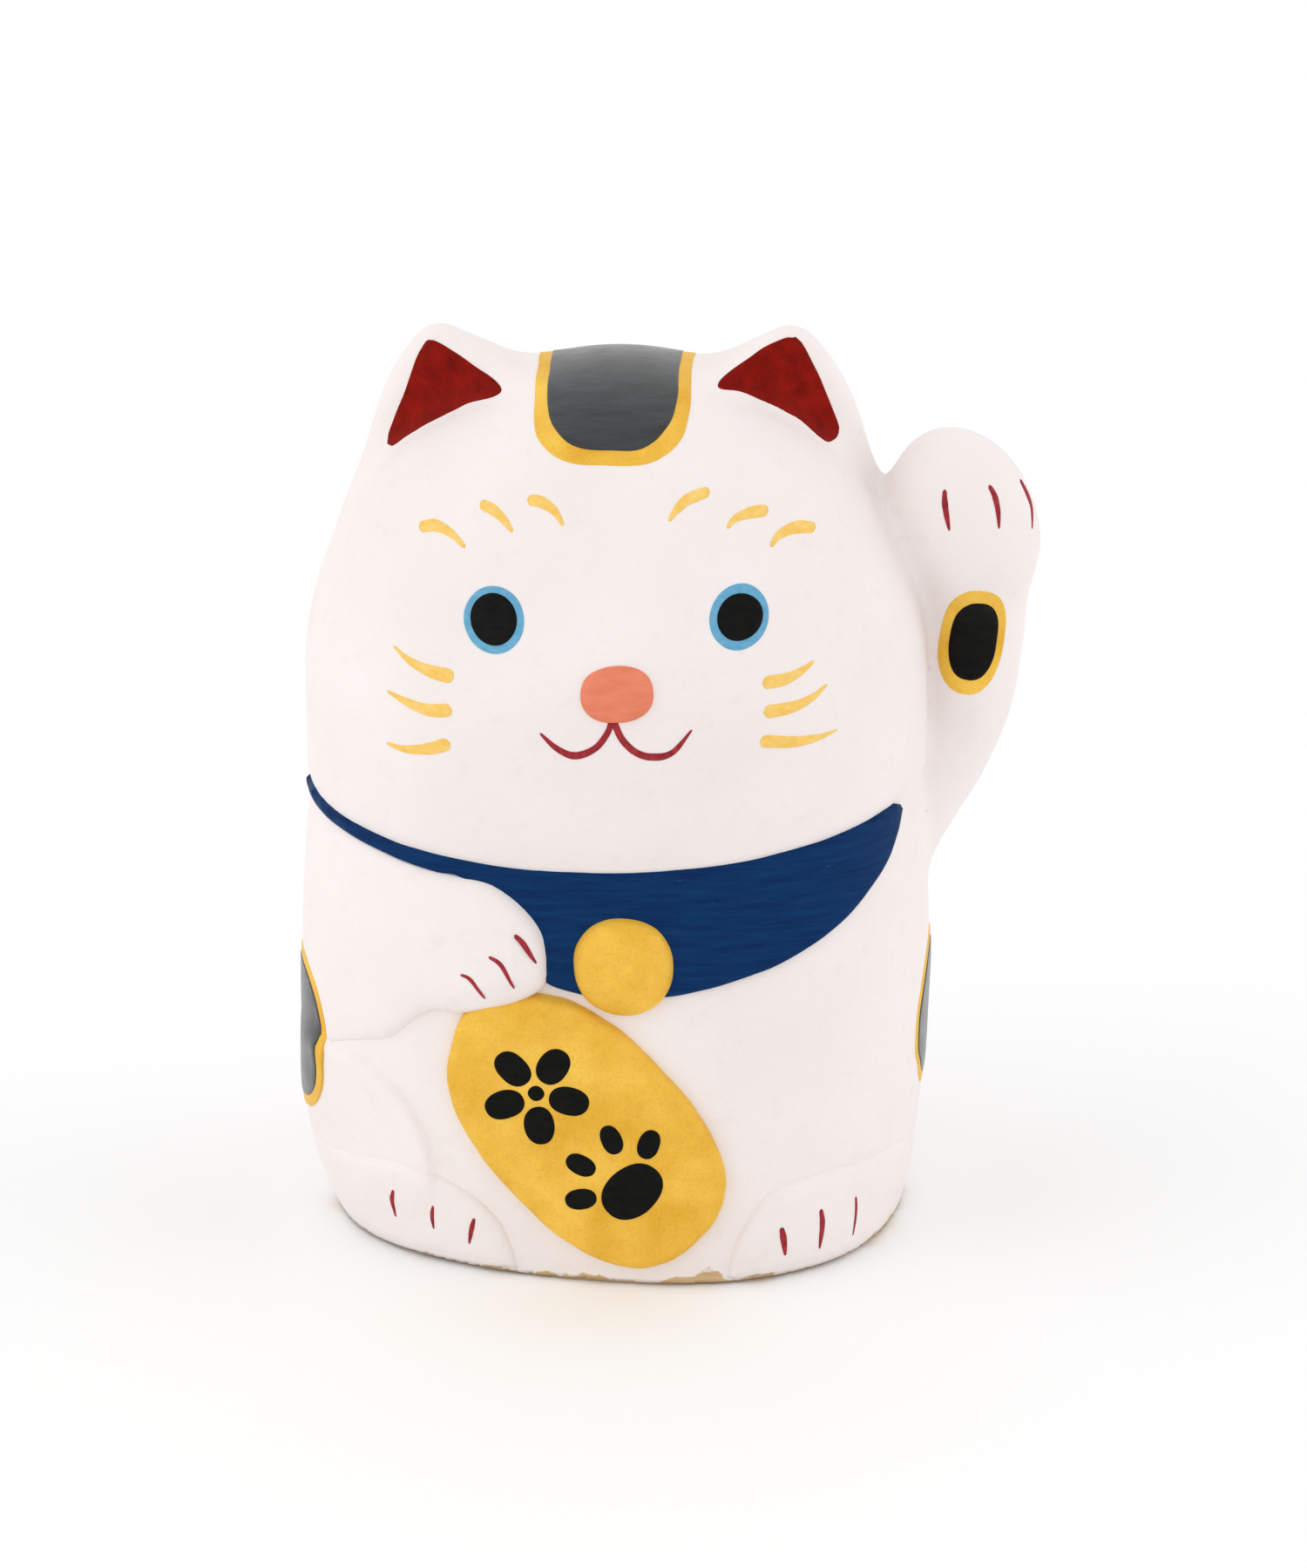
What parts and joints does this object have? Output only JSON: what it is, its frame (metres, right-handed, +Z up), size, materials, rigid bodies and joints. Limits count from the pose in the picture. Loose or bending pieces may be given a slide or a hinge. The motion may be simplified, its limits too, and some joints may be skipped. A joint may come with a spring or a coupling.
{
  "type": "beckoning cat figurine",
  "caption": "Sitting papier-mache cat figurine with one paw raised beside its head, a bib, a bell and an oval coin plaque; hollow shell on a flat card base.",
  "frame": {"origin": "on the underside of the base board, on the upright axis of the body", "axes": "+Z up out of the standing face, -Y the way the cat faces, +X towards the cat's left side, which has the raised arm"},
  "size_m": [0.1056, 0.085, 0.1298],
  "materials": {
    "white_paper": "papier-mache under a matte off-white shell-powder ground",
    "bare_paper": "unpainted brown paper strip, glued",
    "tan_card": "thick tan card, raw",
    "clay": "air-dried clay, raw",
    "blue_paint": "papier-mache, matte navy blue paint with brush streaks",
    "gold_paint": "papier-mache, ochre gold paint, satin, speckled",
    "black_paint": "papier-mache, charcoal black paint, low sheen",
    "red_paint": "papier-mache, deep red paint, mottled",
    "pink_paint": "papier-mache, salmon pink paint, satin",
    "eye_paint": "light blue paint, satin"
  },
  "bodies": {
    "root": {"front_shell": "white_paper", "back_shell": "white_paper", "left_ear": "white_paper", "right_ear": "white_paper", "raised_arm": "white_paper", "lowered_arm": "white_paper", "left_foot": "white_paper", "right_foot": "white_paper", "tail": "black_paint", "seam_strip": "bare_paper", "base_board": "tan_card", "clay_weight": "clay", "bib": "blue_paint", "bell": "gold_paint", "koban": "gold_paint", "nose": "pink_paint"}
  },
  "joints": []
}
